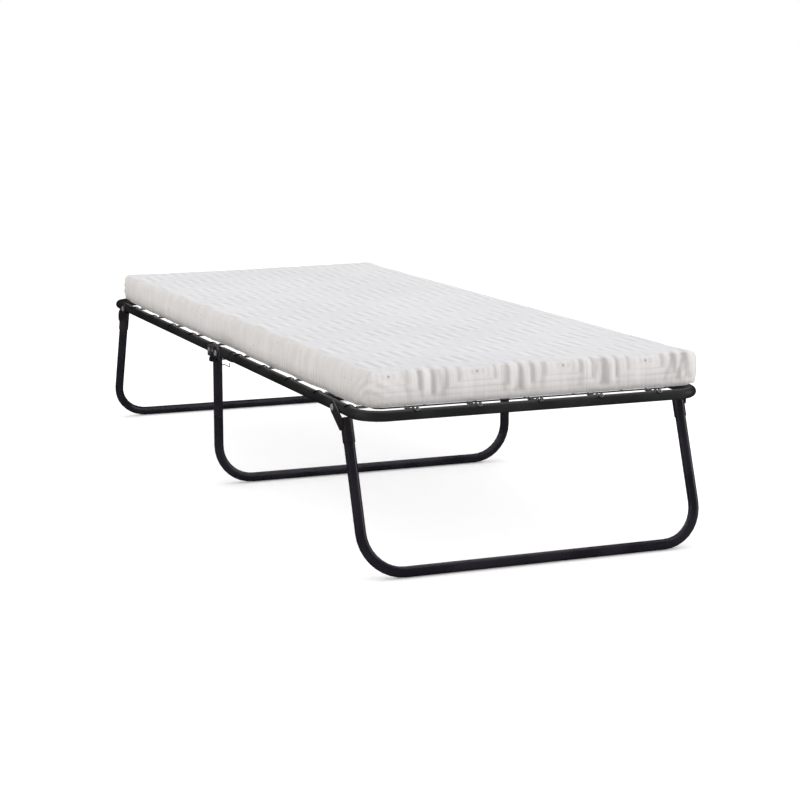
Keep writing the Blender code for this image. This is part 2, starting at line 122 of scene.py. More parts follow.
class Finish:
    """A material under construction: a Principled shader and short calls for its nodes."""

    def __init__(self, name):
        self.mat = bpy.data.materials.new(name)
        self.mat.use_nodes = True
        self.tree = self.mat.node_tree
        self.shader = self.tree.nodes["Principled BSDF"]
        self.column = 0

    def node(self, kind, **settings):
        n = self.tree.nodes.new(kind)
        self.column -= 1
        n.location = (-220 + 60 * self.column, 200 * math.sin(self.column))
        for key, value in settings.items():
            setattr(n, key, value)
        return n

    def put(self, socket, value):
        if isinstance(value, bpy.types.NodeSocket):
            self.tree.links.new(value, socket)
        elif isinstance(value, (tuple, list)) and len(value) == 3 and socket.type == "RGBA":
            socket.default_value = (*value, 1.0)
        else:
            socket.default_value = value

    def set(self, name, value):
        self.put(self.shader.inputs[name], value)

    def maths(self, operation, *values, clamp=False):
        n = self.node("ShaderNodeMath", operation=operation, use_clamp=clamp)
        for socket, value in zip(n.inputs, values):
            self.put(socket, value)
        return n.outputs[0]

    def smooth(self, value, low, high, to_low=0.0, to_high=1.0):
        n = self.node("ShaderNodeMapRange", interpolation_type="SMOOTHSTEP")
        for key, v in (("Value", value), ("From Min", low), ("From Max", high), ("To Min", to_low), ("To Max", to_high)):
            self.put(n.inputs[key], v)
        return n.outputs["Result"]

    def mix(self, factor, a, b):
        n = self.node("ShaderNodeMix", data_type="RGBA")
        self.put(n.inputs["Factor"], factor)
        self.put(n.inputs[6], a)
        self.put(n.inputs[7], b)
        return n.outputs[2]

    def lerp(self, factor, a, b):
        n = self.node("ShaderNodeMix", data_type="FLOAT")
        self.put(n.inputs[0], factor)
        self.put(n.inputs[2], a)
        self.put(n.inputs[3], b)
        return n.outputs[0]

    def place(self):
        return self.node("ShaderNodeTexCoord").outputs["Object"]

    def scaled(self, vector, scale):
        n = self.node("ShaderNodeMapping", vector_type="POINT")
        self.put(n.inputs["Vector"], vector)
        n.inputs["Scale"].default_value = scale
        return n.outputs["Vector"]

    def noise(self, vector, scale, detail=2.0, rough=0.5, distortion=0.0):
        n = self.node("ShaderNodeTexNoise", noise_dimensions="3D")
        self.put(n.inputs["Vector"], vector)
        n.inputs["Scale"].default_value = scale
        n.inputs["Detail"].default_value = detail
        n.inputs["Roughness"].default_value = rough
        n.inputs["Distortion"].default_value = distortion
        return n.outputs["Fac"]

    def cells(self, vector, scale, feature="F1"):
        n = self.node("ShaderNodeTexVoronoi", feature=feature)
        self.put(n.inputs["Vector"], vector)
        n.inputs["Scale"].default_value = scale
        return n.outputs["Distance"]

    def parts(self, vector):
        n = self.node("ShaderNodeSeparateXYZ")
        self.put(n.inputs[0], vector)
        return n.outputs

    def bump(self, height, distance, strength=1.0, after=None):
        n = self.node("ShaderNodeBump")
        n.inputs["Distance"].default_value = distance
        n.inputs["Strength"].default_value = strength
        self.put(n.inputs["Height"], height)
        if after is not None:
            self.put(n.inputs["Normal"], after)
        return n.outputs["Normal"]


def satin_paint(name, dark, light, rough, coat=0.0, scuff=(0.11, 0.11, 0.11)):
    """Powder-coated tube: slow tone shifts, orange-peel grain, faint rubbed streaks and dust specks."""
    f = Finish(name)
    at = f.place()
    cloud = f.noise(at, 9.0, 3.0, 0.55)
    tone = f.mix(f.smooth(cloud, 0.35, 0.68), dark, light)
    streak = f.noise(f.scaled(at, (5.0, 5.0, 46.0)), 3.0, 4.0, 0.62)
    rubbed = f.smooth(streak, 0.66, 0.80, 0.0, 0.5)
    fine = f.noise(at, 240.0, 2.0, 0.5)
    speck = f.smooth(f.cells(at, 420.0), 0.03, 0.10, 0.35, 0.0)
    tone = f.mix(rubbed, tone, scuff)
    tone = f.mix(f.maths("MULTIPLY", speck, f.smooth(fine, 0.5, 0.7)), tone, scuff)
    f.set("Base Color", tone)
    rough_now = f.maths("ADD", f.smooth(cloud, 0.3, 0.7, rough - 0.05, rough + 0.05), f.maths("MULTIPLY", rubbed, 0.16), clamp=True)
    f.set("Roughness", rough_now)
    peel = f.noise(at, 620.0, 2.0, 0.6)
    f.set("Normal", f.bump(peel, 0.00008, 0.55, f.bump(f.noise(at, 60.0, 1.0), 0.0004, 0.25)))
    f.set("Specular IOR Level", 0.42)
    if coat:
        f.set("Coat Weight", coat)
        f.set("Coat Roughness", 0.22)
    return f.mat


def bare_metal(name, tone, dull, rough, grain=(1.0, 1.0, 1.0), scale=160.0, spots=0.4, metal=1.0):
    """Plated steel: fine grain, dull blotches and darker pitting."""
    f = Finish(name)
    at = f.place()
    blotch = f.noise(at, 70.0, 4.0, 0.6)
    lines = f.noise(f.scaled(at, grain), scale, 3.0, 0.6)
    pit = f.smooth(f.cells(at, 520.0), 0.04, 0.16, spots, 0.0)
    colour = f.mix(f.smooth(blotch, 0.42, 0.72), tone, dull)
    f.set("Base Color", f.mix(pit, colour, (dull[0] * 0.45, dull[1] * 0.43, dull[2] * 0.40)))
    f.set("Metallic", metal)
    f.set("Roughness", f.maths("ADD", f.smooth(blotch, 0.35, 0.75, rough - 0.06, rough + 0.12), f.maths("MULTIPLY", lines, 0.10), clamp=True))
    f.set("Normal", f.bump(lines, 0.00010, 0.5, f.bump(blotch, 0.0003, 0.25)))
    return f.mat


def worn_paint(name, paint, metal, rough):
    """Dark brown-black paint on stamped steel, rubbed through to metal in small patches."""
    f = Finish(name)
    at = f.place()
    cloud = f.noise(at, 55.0, 4.0, 0.6)
    tone = f.mix(f.smooth(cloud, 0.35, 0.65), paint, tuple(c * 1.9 for c in paint))
    chip = f.maths("MULTIPLY", f.smooth(f.noise(at, 120.0, 5.0, 0.7), 0.63, 0.72), f.smooth(f.noise(at, 22.0, 2.0), 0.52, 0.66))
    f.set("Base Color", f.mix(chip, tone, metal))
    f.set("Metallic", f.maths("MULTIPLY", chip, 0.85))
    f.set("Roughness", f.maths("SUBTRACT", f.smooth(cloud, 0.3, 0.7, rough, rough + 0.12), f.maths("MULTIPLY", chip, 0.12), clamp=True))
    f.set("Normal", f.bump(f.noise(at, 500.0, 2.0), 0.00010, 0.5, f.bump(chip, 0.0002, -0.4)))
    return f.mat


rail_paint = satin_paint("rail_satin_black", (0.0140, 0.0152, 0.0145), (0.0225, 0.0240, 0.0230), 0.42, 0.0, (0.050, 0.055, 0.050))
leg_paint = satin_paint("leg_satin_black", (0.0108, 0.0092, 0.0140), (0.0175, 0.0152, 0.0225), 0.27, 0.22, (0.042, 0.038, 0.050))
hinge_paint = worn_paint("hinge_worn_black", (0.0300, 0.0260, 0.0255), (0.26, 0.25, 0.245), 0.36)
socket_paint = satin_paint("socket_satin_black", (0.0120, 0.0100, 0.0125), (0.0240, 0.0200, 0.0215), 0.28, 0.20, (0.080, 0.070, 0.072))
# only part metal, so the pale base colour shows light grey under the lamps: painted reflection in place of glints
rivet_steel = bare_metal("rivet_zinc_plated", (0.52, 0.51, 0.50), (0.24, 0.23, 0.225), 0.28, metal=0.6)
deck_steel = bare_metal("deck_wire_dark", (0.10, 0.10, 0.105), (0.04, 0.04, 0.042), 0.30, (1.0, 1.0, 1.0), 300.0, 0.5)
# only part metal, so the base colour shows grey under the lamps: painted reflection in place of glints
spring_steel = bare_metal("spring_steel", (0.30, 0.30, 0.305), (0.08, 0.08, 0.08), 0.26, (1.0, 1.0, 1.0), 300.0, 0.5, 0.7)
catch_steel = bare_metal("catch_wire_grey", (0.50, 0.50, 0.51), (0.28, 0.28, 0.28), 0.32, (1.0, 1.0, 1.0), 260.0, 0.4)

FINISH_OF = (
    ("rail_", rail_paint), ("hinge_sleeve", rail_paint), ("hinge_plate", hinge_paint), ("leg_socket", socket_paint),
    ("leg_rivet", rivet_steel), ("plate_rivet", rivet_steel), ("hinge_pin", rivet_steel), ("deck_", deck_steel),
    ("leg_catch", catch_steel), ("leg_", leg_paint),
)


def smooth_shading(angle):
    """A modifier that joins the facets and shades them smooth, keeping edges sharper than the angle."""
    group = bpy.data.node_groups.new("smooth_round_faces", "GeometryNodeTree")
    group.interface.new_socket("Geometry", in_out="INPUT", socket_type="NodeSocketGeometry")
    group.interface.new_socket("Geometry", in_out="OUTPUT", socket_type="NodeSocketGeometry")
    start, end = group.nodes.new("NodeGroupInput"), group.nodes.new("NodeGroupOutput")
    join = group.nodes.new("GeometryNodeMergeByDistance")
    join.inputs["Distance"].default_value = 0.00001
    drop = group.nodes.new("GeometryNodeRemoveAttribute")
    drop.inputs["Name"].default_value = "custom_normal"
    faces = group.nodes.new("GeometryNodeSetShadeSmooth")
    faces.domain = "FACE"
    edges = group.nodes.new("GeometryNodeSetShadeSmooth")
    edges.domain = "EDGE"
    sharp = group.nodes.new("GeometryNodeSetShadeSmooth")
    sharp.domain = "EDGE"
    sharp.inputs["Shade Smooth"].default_value = False
    bend = group.nodes.new("GeometryNodeInputMeshEdgeAngle")
    over = group.nodes.new("FunctionNodeCompare")
    over.operation = "GREATER_THAN"
    over.inputs[1].default_value = math.radians(angle)
    group.links.new(start.outputs[0], join.inputs["Geometry"])
    group.links.new(join.outputs[0], drop.inputs["Geometry"])
    group.links.new(drop.outputs[0], faces.inputs["Geometry"])
    group.links.new(faces.outputs[0], edges.inputs["Geometry"])
    group.links.new(edges.outputs[0], sharp.inputs["Geometry"])
    group.links.new(bend.outputs["Unsigned Angle"], over.inputs[0])
    group.links.new(over.outputs[0], sharp.inputs["Selection"])
    group.links.new(sharp.outputs[0], end.inputs[0])
    return group


SMOOTH = smooth_shading(38.0)
for name, node in NODES.items():
    if name.startswith("mattress"):
        continue
    finish = next(m for start, m in FINISH_OF if name.startswith(start))
    for slot in node.material_slots:
        slot.material = finish
    mod = node.modifiers.new("smooth_round_faces", "NODES")
    mod.node_group = SMOOTH

# =====================================================================================
# the mattress: a foam slab in a loose knit cover
# =====================================================================================
boxes = [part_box(n) for n in ("mattress_head", "mattress_middle", "mattress_foot")]
LOW = np.array([min(b[0][k] for b in boxes) for k in range(3)])
HIGH = np.array([max(b[1][k] for b in boxes) for k in range(3)])
MID = (LOW + HIGH) / 2
HALF = (HIGH - LOW) / 2
ROUND = 0.0150          # radius of the soft upper edges
ROUND_LOW = 0.0075      # radius of the lower edges
PLAN_ROUND = 0.0180     # radius of the four upright corners
SHRINK = 0.0016         # the slab starts this much inside its final size, and swells


def spaced(half, step, fine=0.0):
    """Positions from -half to half: close together round the edge, then evenly spaced."""
    rim = [half * 1.0 - ROUND * 1.25 * k for k in (0, 0.16, 0.34, 0.55, 0.78, 1.0)]
    inner = rim[-1]
    count = max(2, int(round(2 * inner / step)))
    even = [-inner + 2 * inner * k / count for k in range(count + 1)]
    return np.array([-v for v in rim[:-1]] + even + rim[:-1][::-1])


def skin_mesh(xs, ys, zs):
    """The closed surface of a box with grid lines at xs, ys and zs: points, and its quads facing out."""
    nx, ny, nz = len(xs) - 1, len(ys) - 1, len(zs) - 1
    index, points, quads = {}, [], []

    def at(i, j, k):
        key = (i, j, k)
        if key not in index:
            index[key] = len(points)
            points.append((xs[i], ys[j], zs[k]))
        return index[key]

    for i in range(nx):
        for j in range(ny):
            quads.append((at(i, j, nz), at(i + 1, j, nz), at(i + 1, j + 1, nz), at(i, j + 1, nz)))
            quads.append((at(i, j, 0), at(i, j + 1, 0), at(i + 1, j + 1, 0), at(i + 1, j, 0)))
    for i in range(nx):
        for k in range(nz):
            quads.append((at(i, 0, k), at(i + 1, 0, k), at(i + 1, 0, k + 1), at(i, 0, k + 1)))
            quads.append((at(i, ny, k), at(i, ny, k + 1), at(i + 1, ny, k + 1), at(i + 1, ny, k)))
    for j in range(ny):
        for k in range(nz):
            quads.append((at(0, j, k), at(0, j, k + 1), at(0, j + 1, k + 1), at(0, j + 1, k)))
            quads.append((at(nx, j, k), at(nx, j + 1, k), at(nx, j + 1, k + 1), at(nx, j, k + 1)))
    return np.array(points), quads


def rounded_slab(p, half):
    """Box points moved onto a slab with rounded corners in plan and rounded edges all round."""
    p = p.copy()
    flat = half[:2] - PLAN_ROUND
    core = np.clip(p[:, :2], -flat, flat)
    out = p[:, :2] - core
    reach = np.abs(out).max(axis=1)
    length = np.linalg.norm(out, axis=1)
    turned = core + out * (reach / np.maximum(length, 1e-12))[:, None]
    plan = np.where((length > 1e-9)[:, None], turned, p[:, :2])
    # how far in from the plan's rim, and which way is out
    core2 = np.clip(plan, -flat, flat)
    way = plan - core2
    far = np.linalg.norm(way, axis=1)
    depth = PLAN_ROUND - far
    way_n = way / np.maximum(far, 1e-12)[:, None]
    edge_round = np.where(p[:, 2] > 0, ROUND, ROUND_LOW)
    edge = np.clip(edge_round - depth, 0, None)
    up_edge = np.clip(np.abs(p[:, 2]) - (half[2] - edge_round), 0, None)
    big = np.maximum(edge, up_edge)
    norm = np.sqrt(edge ** 2 + up_edge ** 2)
    share = np.where(norm > 1e-9, big / np.maximum(norm, 1e-12), 1.0)
    new_edge, new_up = edge * share, up_edge * share
    plan = plan + way_n * (new_edge - edge)[:, None]
    z = np.sign(p[:, 2]) * (np.abs(p[:, 2]) - up_edge + new_up)
    return np.column_stack([plan, z])


def build_mesh(name, points, quads):
    mesh = bpy.data.meshes.new(name)
    mesh.from_pydata([tuple(v) for v in points], [], quads)
    mesh.update()
    return mesh


# ---- the coarse cover, swollen by cloth simulation ----
def swollen(steps=20):
    """Positions of a coarse cover before and after it is inflated against its own stiffness."""
    half = HALF - SHRINK
    xs = np.linspace(-half[0], half[0], 93)
    ys = np.linspace(-half[1], half[1], 38)
    zs = np.linspace(-half[2], half[2], 6)
    points, quads = skin_mesh(xs, ys, zs)
    points = rounded_slab(points, half) + MID
    mesh = build_mesh("cover_coarse", points, quads)
    cover = bpy.data.objects.new("cover_coarse", mesh)
    scene.collection.objects.link(cover)
    bpy.context.view_layer.objects.active = cover
    # the foam inside: every point is tied to its place, loosely on the faces and firmly below
    group = cover.vertex_groups.new(name="foam")
    low = points[:, 2] < MID[2] - half[2] + 0.004
    for k in range(len(points)):
        group.add([k], 0.30 if low[k] else 0.045, "REPLACE")
    loose = cover.vertex_groups.new(name="loose")
    wave = 0.5 + 0.5 * np.sin(points[:, 0] * 23.0 + 2.2 * np.sin(points[:, 1] * 11.0)) * np.sin(points[:, 1] * 31.0 + 1.7 * np.sin(points[:, 0] * 9.0))
    for k in range(len(points)):
        loose.add([k], float(wave[k]), "REPLACE")
    mod = cover.modifiers.new("cloth", "CLOTH")
    s = mod.settings
    s.quality = 6
    s.mass = 0.25
    s.air_damping = 2.0
    s.tension_stiffness = s.compression_stiffness = 12.0
    s.shear_stiffness = 6.0
    s.bending_stiffness = 0.08
    s.vertex_group_mass = "foam"
    s.pin_stiffness = 1.0
    s.use_pressure = True
    s.uniform_pressure_force = 4.0
    s.vertex_group_shrink = "loose"
    s.shrink_min, s.shrink_max = -0.030, 0.010
    s.effector_weights.gravity = 0.0
    mod.point_cache.frame_start, mod.point_cache.frame_end = 1, steps
    for step in range(1, steps + 1):
        scene.frame_set(step)
    evaluated = cover.evaluated_get(bpy.context.evaluated_depsgraph_get())
    after = np.zeros(len(points) * 3)
    evaluated.data.vertices.foreach_get("co", after)
    after = after.reshape(-1, 3)
    scene.frame_set(1)
    bpy.data.objects.remove(cover, do_unlink=True)
    bpy.data.meshes.remove(mesh)
    return points, after


# ---- the fine cover ----
fine_half = HALF - SHRINK
inner_x = list(spaced(fine_half[0], 0.0102))
hinge_local = HINGE_X - MID[0]
inner_x = [x for x in inner_x if abs(x - hinge_local) > 0.074]
inner_x += list(np.linspace(hinge_local - 0.070, hinge_local + 0.070, 25))
xs = np.array(sorted(inner_x))
ys = spaced(fine_half[1], 0.0037)
rim_z = [fine_half[2] - ROUND * k for k in (0, 0.22, 0.46, 0.72, 1.0)]
mid_z = list(np.linspace(-rim_z[-1], rim_z[-1], 9))
zs = np.array([-fine_half[2] + ROUND_LOW * k for k in (0, 0.3, 0.62, 1.0)] + list(np.linspace(-fine_half[2] + ROUND_LOW * 1.6, rim_z[-1], 9)) + rim_z[:-1][::-1])
base, quads = skin_mesh(xs, ys, zs)
slab = rounded_slab(base, fine_half)
rest = slab + MID


def normals_of(points, quads):
    q = np.array(quads)
    n = np.cross(points[q[:, 2]] - points[q[:, 0]], points[q[:, 3]] - points[q[:, 1]])
    total = np.zeros_like(points)
    for k in range(4):
        np.add.at(total, q[:, k], n)
    return total / np.maximum(np.linalg.norm(total, axis=1), 1e-12)[:, None]


N = normals_of(rest, quads)


def smoothstep(a, b, x):
    t = np.clip((x - a) / (b - a), 0, 1)
    return t * t * (3 - 2 * t)


def value_noise(u, v, seed):
    """Smooth noise from -1 to 1, one knot per unit."""
    def knot(i, j):
        h = (i.astype(np.int64) * 374761393 + j.astype(np.int64) * 668265263 + seed * 982451653) & 0xFFFFFFFF
        h = ((h ^ (h >> 13)) * 1274126177) & 0xFFFFFFFF
        return ((h ^ (h >> 16)) & 0xFFFF) / 32767.5 - 1.0
    i, j = np.floor(u), np.floor(v)
    a, b = u - i, v - j
    a, b = a * a * (3 - 2 * a), b * b * (3 - 2 * b)
    return (knot(i, j) * (1 - a) + knot(i + 1, j) * a) * (1 - b) + (knot(i, j + 1) * (1 - a) + knot(i + 1, j + 1) * a) * b


# the cover's own coordinates: along and across on the top, running on down the ends and the sides
drop = HIGH[2] - rest[:, 2]
wall = smoothstep(0.02, 0.25, 1.0 - np.abs(N[:, 2]))
lean_x, lean_y = np.abs(N[:, 0]), np.abs(N[:, 1])
to_end = smoothstep(0.35, 0.65, lean_x / np.maximum(lean_x + lean_y, 1e-9))
along = rest[:, 0] + np.sign(rest[:, 0] - MID[0]) * drop * np.where(wall > 0, to_end, 0)
across = rest[:, 1] + np.sign(rest[:, 1] - MID[1]) * drop * np.where(wall > 0, 1 - to_end, 0)
end_wall, side_wall = wall * to_end, wall * (1 - to_end)
top_face = smoothstep(0.3, 0.8, N[:, 2])
under = smoothstep(0.5, 0.9, -N[:, 2])

# the woven figure: nested rectangles with a dot, in staggered rows
FIG_ACROSS, FIG_ALONG, FIG_RING, FIG_SHAPE = 0.1900, 0.100, 0.0280, 2.1
FIG_AT = (0.9360, 0.0545)
FIG_RIM = FIG_ACROSS / 2 / FIG_RING     # the ring on which neighbouring figures meet
# the knit is pulled a little askew, so its lines wander
across = across - 0.011 * smoothstep(0.45, 0.93, rest[:, 0]) + 0.0022 * value_noise(rest[:, 0] * 7.0, across * 9.0, 61)
along = along + 0.0024 * value_noise(rest[:, 0] * 6.0 + 3.0, across * 8.0, 62)


def figure(along, across):
    """Distance in from the middle of the nearest figure, in rings, and the place in it."""
    row = np.floor((along - FIG_AT[0]) / FIG_ALONG + 0.5)
    a = along - FIG_AT[0] - row * FIG_ALONG
    c = (across - FIG_AT[1]) / FIG_ACROSS + 0.5 + 0.5 * np.mod(row, 2)
    c = (c - np.floor(c) - 0.5) * FIG_ACROSS
    return np.maximum(np.abs(c), np.abs(a) * FIG_SHAPE) / FIG_RING, a, c


ring, fig_a, fig_c = figure(along, across)
puff = 0.5 - 0.5 * np.cos(2 * math.pi * (ring - FIG_RIM))
puff = np.where(ring > FIG_RIM + 0.5, 1.0, puff) ** 0.8
strokes = smoothstep(0.85, 1.6, ring) * (0.35 + 0.65 * smoothstep(-0.25, 0.35, (np.abs(fig_c) - np.abs(fig_a) * FIG_SHAPE) / FIG_RING))
rim_gap = np.minimum(HALF[0] - np.abs(rest[:, 0] - MID[0]), HALF[1] - np.abs(rest[:, 1] - MID[1]))
calm = smoothstep(0.004, 0.022, rim_gap)      # the very rim stays smooth

lift = np.zeros(len(rest))
lift += top_face * calm * 0.00085 * strokes * (puff - 0.5)
# slow unevenness of the foam and the loose knit
lift += (1 - under) * (0.35 + 0.65 * calm) * (0.0011 * value_noise(rest[:, 0] * 5.2, rest[:, 1] * 6.1, 3) + 0.0006 * value_noise(rest[:, 0] * 13.0, rest[:, 1] * 15.0 + rest[:, 2] * 9.0, 5))

# upright pleats down the end faces, fading towards the lower edge, slightly slanted
height = (rest[:, 2] - LOW[2]) / (HIGH[2] - LOW[2])
warp = 0.006 * value_noise(rest[:, 1] * 9.0, rest[:, 0] * 0 + 2.0, 11) + 0.010 * (1 - height) * value_noise(rest[:, 1] * 7.0, rest[:, 0] * 0 + 5.0, 12)
pleat = value_noise((rest[:, 1] + warp) * 78.0, height * 0.8 + np.sign(rest[:, 0]) * 7.0, 21)
pleat += 0.35 * value_noise((rest[:, 1] + 1.4 * warp) * 140.0, height * 1.1 + np.sign(rest[:, 0]) * 3.0, 22)
between = smoothstep(0.25, 0.48, np.abs(fig_c) / FIG_ACROSS)       # strongest half way between two figures
strength = (0.30 + 0.80 * between) * (0.75 + 0.4 * value_noise(rest[:, 1] * 6.5, height * 0.5 + 9.0, 23))
fade = smoothstep(0.04, 0.34, height) * (1 - 0.45 * smoothstep(0.90, 1.0, height))
corner_calm = smoothstep(0.002, 0.022, HALF[1] - np.abs(rest[:, 1] - MID[1]))
# the fold value is painted light for the cover's colour: painted shade in the pleats' hollows, painted highlight on
# their crests
fold = end_wall * corner_calm * (fade * strength * pleat * 1.25 + smoothstep(0.10, 0.4, height) * strokes * (0.35 + 0.65 * between) * (puff - 0.6) * 1.3)
lift += end_wall * fade * strength * corner_calm * 0.0027 * pleat
lift += end_wall * smoothstep(0.02, 0.2, height) * corner_calm * 0.0024 * strokes * (puff - 0.6)

# a few strong slanting creases, as (across at the top, across at the foot, width, depth)
for top_y, foot_y, width, depth in (
    (0.346, 0.322, 0.0050, 0.0030), (0.320, 0.292, 0.0056, 0.0026), (0.176, 0.160, 0.0060, 0.0026),
    (0.146, 0.128, 0.0052, 0.0022), (0.020, 0.014, 0.0060, 0.0022), (-0.205, -0.196, 0.0060, 0.0024),
    (-0.252, -0.240, 0.0052, 0.0022), (-0.286, -0.268, 0.0052, 0.0020), (0.110, 0.100, 0.0056, 0.0016),
    (-0.020, -0.028, 0.0060, 0.0018), (-0.070, -0.064, 0.0050, 0.0016),
):
    centre = foot_y + (top_y - foot_y) * height ** 0.8
    gap = (rest[:, 1] - centre) / width
    lift -= end_wall * (rest[:, 0] > 0) * smoothstep(0.05, 0.35, height) * depth * np.exp(-gap ** 2)
    # painted shade down each crease
    fold -= end_wall * (rest[:, 0] > 0) * smoothstep(0.05, 0.35, height) * (depth / 0.0032) * np.exp(-gap ** 2)
    lift += end_wall * (rest[:, 0] > 0) * smoothstep(0.05, 0.35, height) * depth * 0.45 * np.exp(-((gap - 1.7) ** 2))

# curved tucks where the cover is bunched at the lower corners, with painted shade in them
corner_tuck_shade = np.zeros(len(rest))
for sx in (-1, 1):
    for sy in (-1, 1):
        cx = HIGH[0] if sx > 0 else LOW[0]
        cy = HIGH[1] if sy > 0 else LOW[1]
        away = np.sqrt((rest[:, 0] - cx) ** 2 + (rest[:, 1] - cy) ** 2)
        near = np.exp(-(away / 0.075) ** 2) * (1 - top_face) * (1 - under)
        # painted brown shade in the tucks, stronger at the corners on the left side
        corner_tuck_shade = np.maximum(corner_tuck_shade, (1.0 if sy < 0 else 0.4) * np.exp(-(away / 0.038) ** 2) * (1 - smoothstep(0.25, 0.75, height)) * (1 - under))
        # painted shade and highlight following the tucks
        fold += (0.55 if sy < 0 else 0.25) * near * np.sin(2 * math.pi * (height * 3.4 + away * 26.0)) * smoothstep(0.0, 0.2, height) * (1 - smoothstep(0.6, 0.9, height))
        bow = height * 3.4 + away * 26.0 + 0.4 * value_noise(away * 30.0, height * 4.0, 31 + sx + 3 * sy)
        lift += near * (0.0016 if sy < 0 else 0.0009) * np.sin(2 * math.pi * bow) * smoothstep(0.0, 0.2, height) * (1 - smoothstep(0.6, 0.9, height))

# the sides: shallow upright ripples, and small puckers along the lower edge
ripple = value_noise(rest[:, 0] * 46.0 + 0.6 * value_noise(rest[:, 0] * 8.0, height * 2.0, 41), height * 1.1 + np.sign(rest[:, 1]) * 5.0, 42)
lift += side_wall * 0.0007 * ripple * smoothstep(0.0, 0.3, height) * (1 - 0.6 * smoothstep(0.8, 1.0, height))
lift += side_wall * 0.0012 * value_noise(rest[:, 0] * 9.0, height * 1.5 + np.sign(rest[:, 1]) * 9.0, 43)
pucker = value_noise(rest[:, 0] * 60.0 + rest[:, 1] * 60.0, height * 0.0 + 2.0, 44)
lift += (side_wall + end_wall) * 0.0008 * pucker * np.exp(-((height - 0.10) / 0.08) ** 2)
# the sides belly out a little between the top and lower edges
lift += (side_wall + end_wall) * 0.0022 * np.sin(math.pi * np.clip(height, 0, 1)) ** 0.8

# what the simulation moved, capped, carried over to the fine cover
CAP = 0.0045
before, after = swollen()
moved = after - before
length = np.linalg.norm(moved, axis=1)
moved *= (CAP * np.tanh(length / CAP) / np.maximum(length, 1e-12))[:, None]
tree = KDTree(len(before))
for k, p in enumerate(before):
    tree.insert(p, k)
tree.balance()
carried = np.zeros_like(rest)
for k, p in enumerate(rest):
    near = tree.find_n(p, 5)
    w = np.array([1.0 / (d + 0.004) ** 2 for _, _, d in near])
    carried[k] = (moved[[i for _, i, _ in near]] * w[:, None]).sum(0) / w.sum()
q = np.array(quads)
pairs = np.concatenate([q[:, [0, 1]], q[:, [1, 2]], q[:, [2, 3]], q[:, [3, 0]]])
count = np.zeros(len(rest))
np.add.at(count, pairs[:, 0], 1)
np.add.at(count, pairs[:, 1], 1)
for _ in range(10):
    total = np.zeros_like(carried)
    np.add.at(total, pairs[:, 0], carried[pairs[:, 1]])
    np.add.at(total, pairs[:, 1], carried[pairs[:, 0]])
    carried = 0.5 * carried + 0.5 * total / count[:, None]
carried[:, 2] *= np.where(under > 0.2, 0.0, 1.0)   # it lies flat on the wires

final = rest + carried + N * lift[:, None]
# the underside rests on the wires, rides up over the right rail with its hooks, and clears the rails' rounded ends
over_rail = 0.0070 * smoothstep(0.3510, 0.3615, final[:, 1])
over_ends = 0.0032 * smoothstep(0.858, 0.876, np.abs(final[:, 0]))
sag = 0.0042 * smoothstep(-0.345, -0.358, final[:, 1]) * (1 - smoothstep(0.80, 0.90, np.abs(final[:, 0])))
base_z = LOW[2] + 0.0002 + np.maximum(over_rail, over_ends) - sag
low_share = np.clip(1 - (final[:, 2] - LOW[2]) / 0.030, 0, 1) ** 1.5
final[:, 2] += low_share * (base_z - LOW[2] - 0.0002)
final[:, 2] = np.maximum(final[:, 2], base_z)
# the foam is thinner towards the far left corner
far_share = np.clip((HIGH[0] - final[:, 0]) / (HIGH[0] - LOW[0]), 0, 1) ** 2 * np.clip((HIGH[1] - final[:, 1]) / (HIGH[1] - LOW[1]), 0, 1)
final[:, 2] -= 0.0060 * far_share * np.clip((final[:, 2] - LOW[2]) / (HIGH[2] - LOW[2]), 0, 1)
# the left side bulges past the slab between the leg joints
final[:, 1] -= 0.0036 * smoothstep(-0.350, -0.360, final[:, 1]) * (1 - smoothstep(0.60, 0.90, np.abs(final[:, 0]))) * np.clip(1 - np.abs(height - 0.35) / 0.6, 0, 1)

cover_mesh = build_mesh("mattress", final, quads)
cover_mesh.shade_smooth()
mattress = bpy.data.objects.new("mattress", cover_mesh)
scene.collection.objects.link(mattress)


def keep(mesh, name, values):
    a = mesh.attributes.new(name, "FLOAT_VECTOR", "POINT")
    a.data.foreach_set("vector", np.ascontiguousarray(values, np.float32).ravel())


keep(cover_mesh, "cover_place", np.column_stack([along, across, height]))
keep(cover_mesh, "cover_zone", np.column_stack([end_wall, side_wall, under]))
# the third attribute holds painted shade in hollows, painted highlight on ridges and painted shade in the corner tucks
keep(cover_mesh, "cover_fold_shading", np.column_stack([np.clip(-fold, 0, 1), np.clip(fold, 0, 1), corner_tuck_shade]))


